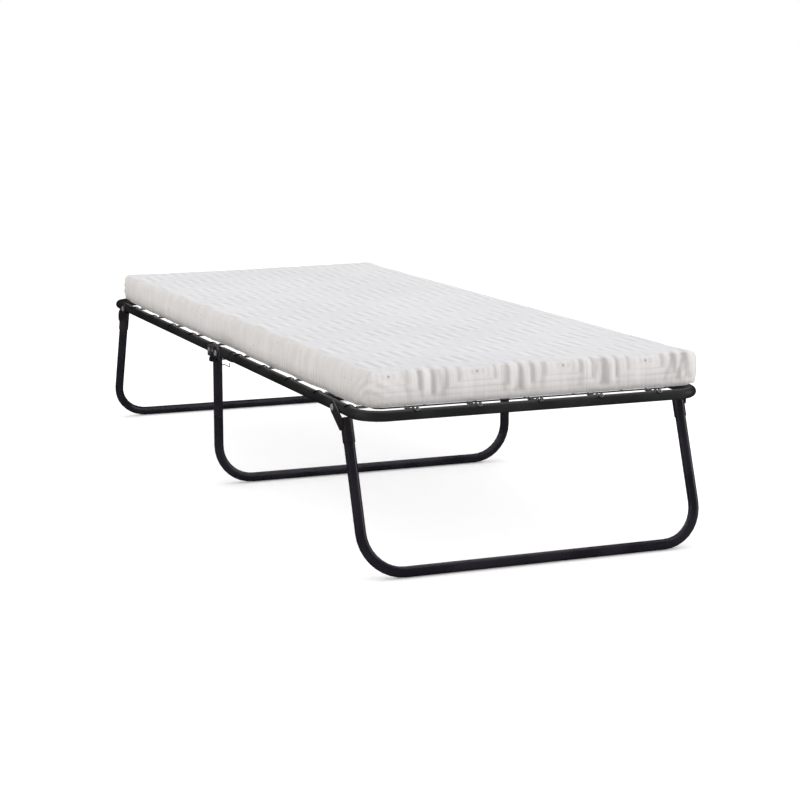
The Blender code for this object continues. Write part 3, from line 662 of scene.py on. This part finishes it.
def knit_cover():
    """White knit with a raised figure of nested rectangles; plain fine ribs on the long sides."""
    f = Finish("mattress_knit")
    place = f.node("ShaderNodeAttribute", attribute_name="cover_place").outputs["Vector"]
    zone = f.parts(f.node("ShaderNodeAttribute", attribute_name="cover_zone").outputs["Vector"])
    at = f.parts(place)
    along, across, height = at[0], at[1], at[2]
    end, side, below = zone[0], zone[1], zone[2]
    fold_shading_parts = f.parts(f.node("ShaderNodeAttribute", attribute_name="cover_fold_shading").outputs["Vector"])
    crease_shade, ridge_highlight, tuck_shade = fold_shading_parts[0], fold_shading_parts[1], fold_shading_parts[2]

    flat = f.scaled(place, (1.0, 1.0, 0.0))       # along and across only
    row_at = f.maths("ADD", f.maths("DIVIDE", f.maths("SUBTRACT", along, float(FIG_AT[0])), FIG_ALONG), 0.5)
    row = f.maths("FLOOR", row_at)
    a = f.maths("MULTIPLY", f.maths("SUBTRACT", f.maths("SUBTRACT", row_at, row), 0.5), FIG_ALONG)
    shift = f.maths("MULTIPLY", f.maths("FLOORED_MODULO", row, 2.0), 0.5)
    c_at = f.maths("ADD", f.maths("ADD", f.maths("DIVIDE", f.maths("SUBTRACT", across, float(FIG_AT[1])), FIG_ACROSS), 0.5), shift)
    c = f.maths("MULTIPLY", f.maths("SUBTRACT", f.maths("FRACT", c_at), 0.5), FIG_ACROSS)
    ac, aa = f.maths("ABSOLUTE", c), f.maths("ABSOLUTE", a)
    ring = f.maths("DIVIDE", f.maths("MAXIMUM", ac, f.maths("MULTIPLY", aa, FIG_SHAPE)), FIG_RING)
    cloth_top = f.maths("SUBTRACT", 1.0, side, clamp=True)
    inside = f.maths("MULTIPLY", f.smooth(ring, FIG_RIM + 0.15, FIG_RIM + 0.30, 1.0, 0.0), cloth_top)
    phase = f.maths("FRACT", f.maths("SUBTRACT", ring, FIG_RIM - 0.5))       # 0.5 on each line
    off = f.maths("ABSOLUTE", f.maths("SUBTRACT", phase, 0.5))
    # strokes grow stronger away from the middle of a figure, and are strongest where they run along
    runs_along = f.smooth(f.maths("SUBTRACT", ac, f.maths("MULTIPLY", aa, FIG_SHAPE)), -0.004, 0.007)
    weight = f.maths("MULTIPLY", f.smooth(ring, 0.85, 1.7, f.lerp(end, 0.20, 0.55), 1.0), f.lerp(runs_along, f.lerp(end, 0.12, 0.50), 1.0))
    patch = f.smooth(f.noise(flat, 11.0, 2.0), 0.34, 0.60, 0.55, 1.0)
    grainy = f.smooth(f.noise(f.scaled(flat, (60.0, 200.0, 0.0)), 1.0, 2.0), 0.30, 0.62, 0.55, 1.0)
    weight = f.maths("MULTIPLY", f.maths("MULTIPLY", weight, patch), f.maths("MULTIPLY", inside, grainy))
    low_fade = f.lerp(end, 1.0, f.smooth(height, 0.10, 0.42))
    weight = f.maths("MULTIPLY", weight, low_fade)
    # the strokes of the raised figure are painted shade in its grooves
    line = f.maths("MULTIPLY", f.smooth(off, 0.03, 0.27, 1.0, 0.0), weight)
    # fainter strokes, painted groove shade like the others, carry on between the figures
    along_phase = f.maths("FRACT", f.maths("SUBTRACT", f.maths("DIVIDE", ac, FIG_RING), FIG_RIM - 0.5))
    off_along = f.maths("ABSOLUTE", f.maths("SUBTRACT", along_phase, 0.5))
    spread = f.smooth(f.noise(f.scaled(flat, (14.0, 40.0, 0.0)), 1.0, 2.0), 0.36, 0.64)
    faint_groove_shade = f.maths("MULTIPLY", f.maths("MULTIPLY", f.smooth(off_along, 0.04, 0.26, 0.55, 0.0), f.maths("SUBTRACT", 1.0, runs_along)), f.maths("MULTIPLY", f.maths("MULTIPLY", spread, cloth_top), f.maths("SUBTRACT", 1.0, end, clamp=True)))
    # the strokes' centres, darker still: painted shade
    core = f.maths("MULTIPLY", f.smooth(off, 0.02, 0.11, 1.0, 0.0), weight)
    # the puffed bands between the strokes get a painted highlight on their crests
    crest_and_highlight = f.maths("MULTIPLY", f.smooth(off, 0.30, 0.48, 0.0, 1.0), weight)
    # finer lines half way between the strokes on the ends
    half = f.maths("MULTIPLY", f.smooth(off, 0.38, 0.47, 0.0, 1.0), f.maths("MULTIPLY", f.maths("MULTIPLY", f.maths("MULTIPLY", end, inside), patch), f.maths("MULTIPLY", low_fade, f.lerp(runs_along, 0.35, 1.0))))
    dot_r = f.maths("SQRT", f.maths("ADD", f.maths("POWER", a, 2.0), f.maths("POWER", c, 2.0)))
    dot = f.maths("MULTIPLY", f.smooth(dot_r, 0.0020, 0.0042, 1.0, 0.0), f.maths("MULTIPLY", cloth_top, f.lerp(end, 0.25, 1.0)))

    # knit: stitches a millimetre and a half apart, ribs on the walls
    stitch_place = f.scaled(place, (620.0, 620.0, 0.0))
    stitch = f.cells(stitch_place, 1.0)
    drift = f.noise(flat, 9.0, 2.0)
    rib_wave = f.maths("SINE", f.maths("MULTIPLY", f.maths("ADD", along, f.maths("MULTIPLY", drift, 0.03)), 2 * math.pi / 0.0125))
    rib_break = f.noise(f.scaled(flat, (34.0, 10.0, 0.0)), 1.0, 2.0, 0.6)
    rib = f.maths("MULTIPLY", f.maths("MULTIPLY", f.maths("ADD", f.maths("MULTIPLY", rib_wave, 0.5), 0.5), f.smooth(rib_break, 0.36, 0.62, 0.15, 1.0)), side)
    wide_rib = f.smooth(f.noise(f.scaled(flat, (26.0, 4.0, 0.0)), 1.0, 2.0), 0.40, 0.66, 0.0, 1.0)
    fleck = f.maths("MULTIPLY", f.smooth(f.cells(f.scaled(flat, (22.0, 60.0, 0.0)), 1.0), 0.07, 0.13, 1.0, 0.0), side)
    end_rib = f.maths("MULTIPLY", f.smooth(f.noise(f.scaled(flat, (3.0, 95.0, 0.0)), 1.0, 2.0, 0.5), 0.42, 0.64, 0.0, 1.0), end)

    white = (0.618, 0.616, 0.628)
    cool = (0.590, 0.588, 0.604)
    warm = (0.618, 0.606, 0.600)
    tone = f.mix(f.smooth(f.noise(flat, 3.2, 3.0), 0.35, 0.65), white, cool)
    tone = f.mix(f.smooth(f.noise(flat, 6.0, 3.0), 0.52, 0.70, 0.0, 0.6), tone, warm)
    tone = f.mix(f.maths("MULTIPLY", side, 0.95), tone, (0.600, 0.570, 0.548))
    tone = f.mix(f.maths("MULTIPLY", end, 0.90), tone, (0.680, 0.652, 0.638))
    # painted groove shade along the strokes, and a painted highlight on the crests between them
    tone = f.mix(f.maths("MULTIPLY", line, f.lerp(end, 0.34, 0.42)), tone, (0.40, 0.395, 0.41))
    tone = f.mix(f.maths("MULTIPLY", faint_groove_shade, 0.34), tone, (0.40, 0.395, 0.41))
    tone = f.mix(f.maths("MULTIPLY", core, 0.30), tone, (0.36, 0.355, 0.37))
    tone = f.mix(f.maths("MULTIPLY", crest_and_highlight, f.lerp(end, 0.48, 0.75)), tone, (0.76, 0.75, 0.75))
    tone = f.mix(f.maths("MULTIPLY", half, 0.30), tone, (0.42, 0.40, 0.39))
    tone = f.mix(f.maths("MULTIPLY", rib, 0.38), tone, (0.42, 0.39, 0.37))
    tone = f.mix(f.maths("MULTIPLY", f.maths("MULTIPLY", wide_rib, side), 0.14), tone, (0.46, 0.43, 0.41))
    tone = f.mix(f.maths("MULTIPLY", fleck, 0.50), tone, (0.26, 0.25, 0.25))
    tone = f.mix(f.maths("MULTIPLY", end_rib, 0.09), tone, (0.42, 0.39, 0.37))
    tone = f.mix(f.maths("MULTIPLY", dot, 0.60), tone, (0.20, 0.20, 0.21))
    # painted shade in the pleats and creases, painted highlight on their ridges, painted brown shade in the corner
    # tucks
    tone = f.mix(f.maths("MULTIPLY", crease_shade, 0.62), tone, (0.37, 0.345, 0.33))
    tone = f.mix(f.maths("MULTIPLY", ridge_highlight, 0.45), tone, (0.80, 0.78, 0.77))
    tone = f.mix(f.maths("MULTIPLY", tuck_shade, 0.34), tone, (0.40, 0.34, 0.29))
    # painted shade along the lower part of the walls
    low_wall_shade = f.maths("MULTIPLY", f.smooth(height, 0.02, 0.30, 1.0, 0.0), f.maths("ADD", side, end, clamp=True))
    tone = f.mix(f.maths("MULTIPLY", low_wall_shade, 0.14), tone, (0.44, 0.40, 0.37))
    tone = f.mix(f.maths("MULTIPLY", below, 0.5), tone, (0.55, 0.54, 0.53))
    f.set("Base Color", tone)
    f.set("Roughness", f.smooth(stitch, 0.2, 0.8, 0.86, 0.96))
    f.set("Specular IOR Level", 0.22)
    f.set("Sheen Weight", 0.12)
    f.set("Sheen Roughness", 0.5)
    relief = f.maths("SUBTRACT", f.maths("MULTIPLY", crest_and_highlight, 0.5), line)
    relief = f.maths("SUBTRACT", relief, f.maths("MULTIPLY", dot, 0.8))
    relief = f.maths("SUBTRACT", relief, f.maths("MULTIPLY", rib, 0.5))
    relief = f.maths("SUBTRACT", relief, f.maths("MULTIPLY", end_rib, 0.8))
    coarse = f.bump(relief, 0.0012, 0.7)
    f.set("Normal", f.bump(stitch, 0.00035, 0.35, coarse))
    return f.mat


cover_mesh.materials.append(knit_cover())
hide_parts("mattress_head", "mattress_middle", "mattress_foot")
mattress.visible_shadow = False     # the light reaches the floor and the rails past the mattress
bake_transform(mattress)

# =====================================================================================
# coil springs between the wire deck and the hooks on the rails
# =====================================================================================
RAIL_Y, RAIL_X, TUBE_R = 0.375, 0.940, 0.0111
DECK_Y, DECK_END_X, WIRE_Z = 0.332, 0.893, RAIL_Z + 0.0065
HOOK_BEND, HOOK_R = TUBE_R + 0.0003 + 0.0015, 0.0015
HOOKS = {"head": (-40, -205, -380, -555, -735), "foot": (160, 335, 510, 685, 862)}
END_HOOKS = (-270, -135, 0, 135, 270)


def coil(points, start, end, radius, turns):
    """Adds the line of a coil from start to end, with a short tail at each end."""
    axis = (end - start).normalized()
    side = axis.cross(Vector((0, 0, 1))).normalized()
    top = side.cross(axis)
    count = int(turns * 12)
    line = []
    for k in range(count + 1):
        t = k / count
        a = 2 * math.pi * turns * t
        r = radius * min(1.0, 0.55 + 4 * min(t, 1 - t) * turns * 0.5)
        line.append(start + (end - start) * t + (side * math.cos(a) + top * math.sin(a)) * r)
    points.append(line)


def wire_object(name, lines, radius, sides=2):
    curve = bpy.data.curves.new(name, "CURVE")
    curve.dimensions = "3D"
    curve.bevel_depth = radius
    curve.bevel_resolution = sides
    curve.use_fill_caps = True
    for line in lines:
        spline = curve.splines.new("POLY")
        spline.points.add(len(line) - 1)
        for point, p in zip(spline.points, line):
            point.co = (*p, 1.0)
    temp = bpy.data.objects.new(name + "_line", curve)
    scene.collection.objects.link(temp)
    bpy.context.view_layer.update()
    mesh = bpy.data.meshes.new_from_object(temp.evaluated_get(bpy.context.evaluated_depsgraph_get()))
    bpy.data.objects.remove(temp, do_unlink=True)
    bm = bmesh.new()
    bm.from_mesh(mesh)
    bmesh.ops.remove_doubles(bm, verts=bm.verts, dist=0.000001)
    bm.to_mesh(mesh)
    bm.free()
    mesh.shade_smooth()
    mesh.materials.clear()
    o = bpy.data.objects.new(name, mesh)
    scene.collection.objects.link(o)
    return o


for end, sign, body in (("head", -1, "head_half"), ("foot", 1, "foot_half")):
    lines = []
    for x in HOOKS[end]:
        for s in (-1, 1):
            a = Vector((x * MM, s * (DECK_Y + 0.0030), WIRE_Z))
            b = Vector((x * MM, s * (RAIL_Y - TUBE_R - 0.0035), WIRE_Z))
            coil(lines, a, b, 0.0027, 9)
    second = []
    for y in END_HOOKS:
        a = Vector((sign * (DECK_END_X + 0.0030), y * MM, WIRE_Z))
        b = Vector((sign * (RAIL_X - TUBE_R - 0.0035), y * MM, WIRE_Z))
        coil(lines, a, b, 0.0027, 10)
        # the hook is a hairpin: a second strand over the rail beside the first, joined to it at the tip
        beside = y * MM + 0.0095
        strand = [Vector((sign * (DECK_END_X + 0.0300), beside, WIRE_Z))]
        for k in range(9):
            turn_at = math.radians(150 - (150 - 58) * k / 8)
            strand.append(Vector((sign * (RAIL_X + HOOK_BEND * math.cos(turn_at)), beside, RAIL_Z + HOOK_BEND * math.sin(turn_at))))
        tip = math.radians(58)
        for k in range(1, 7):
            swing = math.pi * k / 7
            turn_at = tip - math.radians(16) * math.sin(swing)
            strand.append(Vector((sign * (RAIL_X + HOOK_BEND * math.cos(turn_at)), y * MM + 0.0095 * (0.5 + 0.5 * math.cos(swing)), RAIL_Z + HOOK_BEND * math.sin(turn_at))))
        second.append(strand)
    hairpins = wire_object(f"deck_hairpins_{end}", second, HOOK_R, 2)
    hairpins.data.materials.append(spring_steel)
    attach(hairpins, body)
    springs = wire_object(f"deck_springs_{end}", lines, 0.00085, 1)
    springs.data.materials.append(spring_steel)
    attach(springs, body)

# =====================================================================================
# the floor
# =====================================================================================
floor_mesh = bpy.data.meshes.new("floor")
bm = bmesh.new()
bmesh.ops.create_grid(bm, x_segments=2, y_segments=2, size=60.0)
bm.to_mesh(floor_mesh)
bm.free()
floor = bpy.data.objects.new("floor", floor_mesh)
scene.collection.objects.link(floor)
floor.location.z = -0.0004
paper = Finish("studio_floor")
grain = paper.noise(paper.place(), 40.0, 2.0)
paper.set("Base Color", paper.mix(grain, (0.90, 0.90, 0.90), (0.93, 0.93, 0.93)))
paper.set("Roughness", 0.95)
paper.set("Specular IOR Level", 0.1)
paper.set("Emission Color", (1.0, 1.0, 1.0))
paper.set("Emission Strength", 0.20)
floor_mesh.materials.append(paper.mat)
floor.visible_glossy = False       # the dark tubes do not mirror the pale floor
